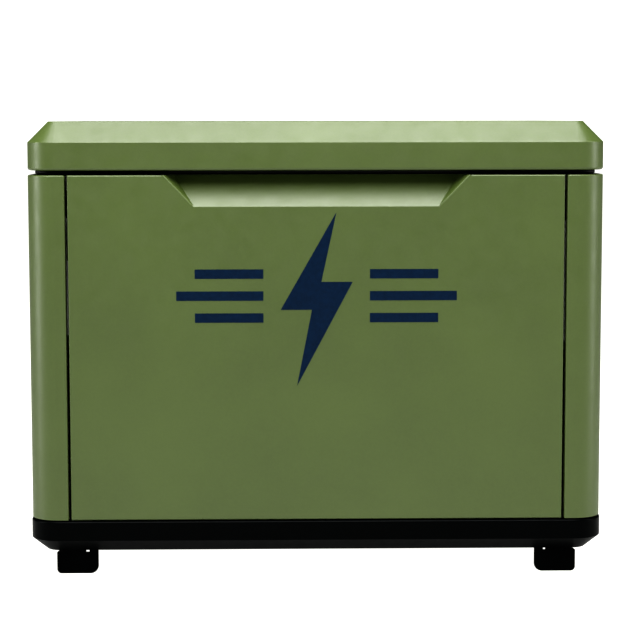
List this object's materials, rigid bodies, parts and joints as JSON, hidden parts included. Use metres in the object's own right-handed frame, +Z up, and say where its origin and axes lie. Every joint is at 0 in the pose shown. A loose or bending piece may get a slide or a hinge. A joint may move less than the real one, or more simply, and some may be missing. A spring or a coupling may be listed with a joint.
{
  "type": "home standby generator",
  "caption": "Standby generator in a low green sheet-metal cabinet with a hinged lid, pull-off front panel and black base tray, around a V-twin engine, alternator and controller.",
  "frame": {"origin": "middle of the four anchor holes, on the plane the feet stand on", "axes": "+X to the right seen from the front and along the crankshaft, +Y from the front panel to the back panel, +Z up"},
  "size_m": [1.006, 0.7075, 0.7925],
  "materials": {
    "panel_green": "satin",
    "base_black": "matte",
    "foot_black": "matte",
    "louvre_black": "matte",
    "frame_zinc": "zinc plated",
    "screw_zinc": "zinc plated",
    "hinge_black": "satin",
    "stud_nylon": "matte",
    "foam_grey": "open cell foam",
    "seal_rubber": "matte",
    "decal_blue": "printed decal",
    "lock_chrome": "polished",
    "mount_rubber": "matte",
    "cradle_black": "satin",
    "cast_alloy": "as cast",
    "cover_black": "gloss",
    "steel_dark": "ground",
    "iron_grey": "as cast",
    "winding_copper": "varnished",
    "casing_alloy": "as cast",
    "filter_white": "gloss",
    "grip_yellow": "gloss",
    "plastic_black": "matte",
    "muffler_steel": "aluminised",
    "box_grey": "matte",
    "display_dark": "gloss",
    "button_green": "gloss",
    "button_grey": "gloss",
    "button_orange": "gloss",
    "breaker_black": "matte",
    "stop_red": "gloss",
    "stop_yellow": "gloss",
    "battery_case": "matte",
    "cable_rubber": "matte",
    "regulator_alloy": "as cast",
    "inlet_brass": "turned",
    "hose_rubber": "matte"
  },
  "bodies": {
    "enclosure": {"base_tray": "base_black", "feet": "foot_black", "foot_screws": "screw_zinc", "corner_posts": "frame_zinc", "top_frame": "frame_zinc", "left_side_panel": "panel_green", "right_side_panel": "panel_green", "back_panel": "panel_green", "left_louvre": "louvre_black", "right_louvre": "louvre_black", "panel_screws": "screw_zinc", "hinge_body_leaves": "hinge_black", "hinge_pins": "screw_zinc", "lock_housings": "lock_chrome", "vibration_mounts": "mount_rubber", "engine_cradle": "cradle_black", "crankcase": "cast_alloy", "cylinders": "cast_alloy", "rocker_covers": "cover_black", "blower_housing": "cover_black", "alternator_casing": "casing_alloy", "alternator_stator": "winding_copper", "starter_motor": "cover_black", "oil_filter": "filter_white", "dipstick_tube": "steel_dark", "intake_manifold": "casing_alloy", "air_cleaner": "plastic_black", "muffler": "muffler_steel", "control_box": "box_grey", "display_window": "display_dark", "breaker_body": "breaker_black", "shutdown_switch": "stop_yellow", "battery": "battery_case", "battery_cables": "cable_rubber", "gas_regulator": "regulator_alloy", "fuel_inlet": "inlet_brass", "gas_hose": "hose_rubber"},
    "lid": {"lid_shell": "panel_green", "lid_seal": "seal_rubber", "lid_insulation": "foam_grey", "lid_brackets": "frame_zinc", "hinge_lid_leaves": "hinge_black"},
    "prop": {"lid_prop": "screw_zinc"},
    "front": {"front_panel": "panel_green", "front_panel_studs": "stud_nylon", "front_panel_insulation": "foam_grey", "front_emblem": "decal_blue"},
    "left_lock": {"left_lock_cam": "lock_chrome"},
    "right_lock": {"right_lock_cam": "lock_chrome"},
    "rotor": {"crankshaft": "steel_dark", "flywheel_fan": "iron_grey", "alternator_rotor": "iron_grey"},
    "auto": {"auto_button": "button_green"},
    "off": {"off_button": "button_grey"},
    "run": {"run_button": "button_orange"},
    "breaker_lever": {"breaker_toggle": "breaker_black"},
    "shutdown": {"shutdown_button": "stop_red"},
    "oil_dipstick": {"dipstick": "grip_yellow"}
  },
  "joints": [
    {"name": "lid_hinge", "type": "hinge", "parent": "enclosure", "child": "lid", "pos_m": [0, 0.3465, 0.7045], "axis": [-1, 0, 0], "range_deg": [0, 55]},
    {"name": "prop_pivot", "type": "hinge", "parent": "lid", "child": "prop", "pos_m": [-0.46, -0.12, 0.7325], "axis": [-1, 0, 0], "range_deg": [0, 45.67]},
    {"name": "front_panel_pull", "type": "slide", "parent": "enclosure", "child": "front", "axis": [0, -1, 0], "range_m": [0, 0.2]},
    {"name": "left_lock_turn", "type": "hinge", "parent": "enclosure", "child": "left_lock", "pos_m": [-0.5, -0.2, 0.6555], "axis": [-1, 0, 0], "range_deg": [0, 90]},
    {"name": "right_lock_turn", "type": "hinge", "parent": "enclosure", "child": "right_lock", "pos_m": [0.5, -0.2, 0.6555], "axis": [-1, 0, 0], "range_deg": [0, 90]},
    {"name": "rotor_spin", "type": "hinge", "parent": "enclosure", "child": "rotor", "pos_m": [0, 0, 0.262], "axis": [1, 0, 0], "continuous": true},
    {"name": "auto_button_press", "type": "slide", "parent": "enclosure", "child": "auto", "axis": [0, 0.6157, -0.788], "range_m": [0, 0.002], "stiffness_N_per_m": 600},
    {"name": "off_button_press", "type": "slide", "parent": "enclosure", "child": "off", "axis": [0, 0.6157, -0.788], "range_m": [0, 0.002], "stiffness_N_per_m": 600},
    {"name": "run_button_press", "type": "slide", "parent": "enclosure", "child": "run", "axis": [0, 0.6157, -0.788], "range_m": [0, 0.002], "stiffness_N_per_m": 600},
    {"name": "breaker_toggle_turn", "type": "hinge", "parent": "enclosure", "child": "breaker_lever", "pos_m": [-0.142, -0.185, 0.6473], "axis": [-1, 0, 0], "range_deg": [0, 32]},
    {"name": "shutdown_button_press", "type": "slide", "parent": "enclosure", "child": "shutdown", "axis": [0, -1, 0], "range_m": [0, 0.005], "stiffness_N_per_m": 1500},
    {"name": "dipstick_pull", "type": "slide", "parent": "enclosure", "child": "oil_dipstick", "axis": [0, 0, 1], "range_m": [0, 0.19]}
  ]
}
